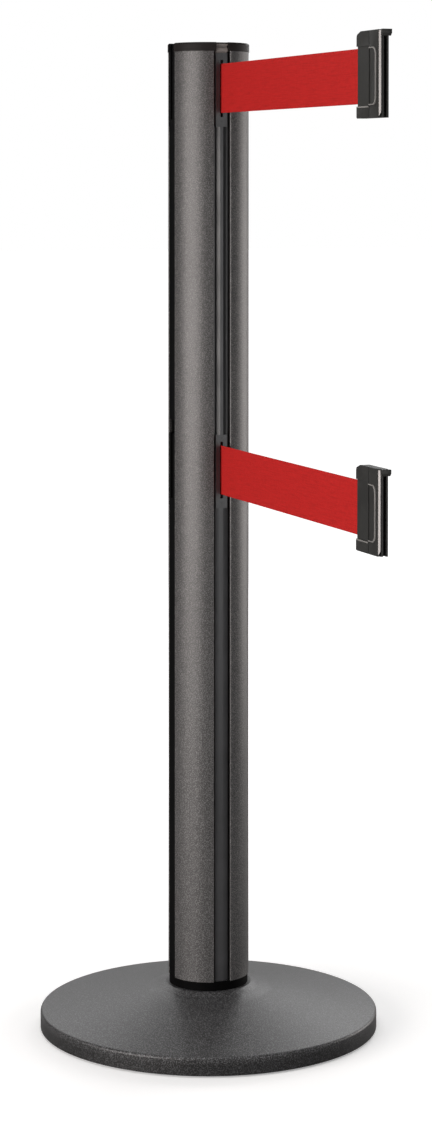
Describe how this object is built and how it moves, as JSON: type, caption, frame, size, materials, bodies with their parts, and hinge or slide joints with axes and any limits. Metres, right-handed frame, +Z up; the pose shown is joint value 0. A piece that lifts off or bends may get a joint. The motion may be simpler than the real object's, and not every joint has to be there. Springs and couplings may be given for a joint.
{
  "type": "retractable belt stanchion",
  "caption": "Free-standing slotted post on a weighted round base, with retracting belts that pull out of one slot and end in hooked clips.",
  "frame": {"origin": "centre of the underside of the base, on the floor", "axes": "+Z up along the post, +X the way the belts pull out; receivers face -X, +Y and -Y"},
  "size_m": [0.6217, 0.348, 1.016],
  "materials": {
    "base_coat": "satin fine-speckle powder coat",
    "post_coat": "satin metallic charcoal coat",
    "cast_iron": "rough",
    "rubber_pad": "matt",
    "zinc_steel": "zinc plated",
    "foot_aluminium": "cast",
    "collar_plastic": "matt",
    "cap_plastic": "satin",
    "black_screws": "black oxide",
    "strip_plastic": "satin",
    "receiver_plastic": "satin",
    "mouth_plastic": "satin",
    "latch_plastic": "satin",
    "frame_plastic": "moulded",
    "spool_plastic": "moulded",
    "belt_weave": "woven polyester webbing",
    "spring_steel": "blued",
    "bright_steel": "drawn",
    "brake_rubber": "matt",
    "clip_plastic": "fine texture",
    "hook_plastic": "fine texture",
    "clip_edge_metal": "satin"
  },
  "bodies": {
    "stand": {"base_cover": "base_coat", "base_weight": "cast_iron", "floor_pad": "rubber_pad", "base_bolt": "zinc_steel", "base_washer": "zinc_steel", "lock_washer": "zinc_steel", "post_collar": "collar_plastic", "foot_plate": "foot_aluminium", "foot_screws": "zinc_steel", "post_tube": "post_coat", "post_cap": "cap_plastic", "cap_screws": "black_screws", "front_strip_mid": "strip_plastic", "front_strip_low": "strip_plastic", "side_strips_mid": "strip_plastic", "side_strips_low": "strip_plastic", "upper_receiver_left": "receiver_plastic", "upper_receiver_right": "receiver_plastic", "upper_receiver_back": "receiver_plastic", "lower_receiver_left": "receiver_plastic", "lower_receiver_right": "receiver_plastic", "lower_receiver_back": "receiver_plastic", "upper_frame": "frame_plastic", "upper_mouth": "mouth_plastic", "upper_latch": "latch_plastic", "upper_axle": "bright_steel", "upper_spring_can": "bright_steel", "upper_power_spring": "spring_steel", "upper_brake_ring": "bright_steel", "upper_guide_pins": "bright_steel", "upper_frame_screws": "black_screws", "lower_frame": "frame_plastic", "lower_mouth": "mouth_plastic", "lower_axle": "bright_steel", "lower_spring_can": "bright_steel", "lower_power_spring": "spring_steel", "lower_brake_ring": "bright_steel", "lower_guide_pins": "bright_steel", "lower_frame_screws": "black_screws"},
    "upper_reel": {"upper_spool": "spool_plastic", "upper_belt_coil": "belt_weave", "upper_brake_shoes": "brake_rubber"},
    "upper_pull": {"upper_belt": "belt_weave", "upper_clip_front": "clip_plastic", "upper_clip_back": "clip_plastic", "upper_clip_edge": "clip_edge_metal", "upper_clip_hook": "hook_plastic", "upper_clamp_bar": "bright_steel", "upper_clip_screws": "black_screws"},
    "lower_reel": {"lower_spool": "spool_plastic", "lower_belt_coil": "belt_weave", "lower_brake_shoes": "brake_rubber"},
    "lower_pull": {"lower_belt": "belt_weave", "lower_clip_front": "clip_plastic", "lower_clip_back": "clip_plastic", "lower_clip_edge": "clip_edge_metal", "lower_clip_hook": "hook_plastic", "lower_clamp_bar": "bright_steel", "lower_clip_screws": "black_screws"}
  },
  "joints": [
    {"name": "upper_belt_pull", "type": "slide", "parent": "stand", "child": "upper_pull", "axis": [1, 0, 0], "range_m": [-0.345, 1.9], "stiffness_N_per_m": 2, "springref_m": -5, "deforming": ["upper_belt"]},
    {"name": "upper_spool_spin", "type": "hinge", "parent": "stand", "child": "upper_reel", "pos_m": [0, 0, 0.969], "axis": [0, 0, 1], "continuous": true},
    {"name": "lower_belt_pull", "type": "slide", "parent": "stand", "child": "lower_pull", "axis": [1, 0, 0], "range_m": [-0.345, 1.9], "stiffness_N_per_m": 2, "springref_m": -5, "deforming": ["lower_belt"]},
    {"name": "lower_spool_spin", "type": "hinge", "parent": "stand", "child": "lower_reel", "pos_m": [0, 0, 0.58], "axis": [0, 0, 1], "continuous": true}
  ],
  "couplings": [
    {"joint": "upper_spool_spin", "follows": "upper_belt_pull", "rad_per_m": 41},
    {"joint": "lower_spool_spin", "follows": "lower_belt_pull", "rad_per_m": 41}
  ]
}
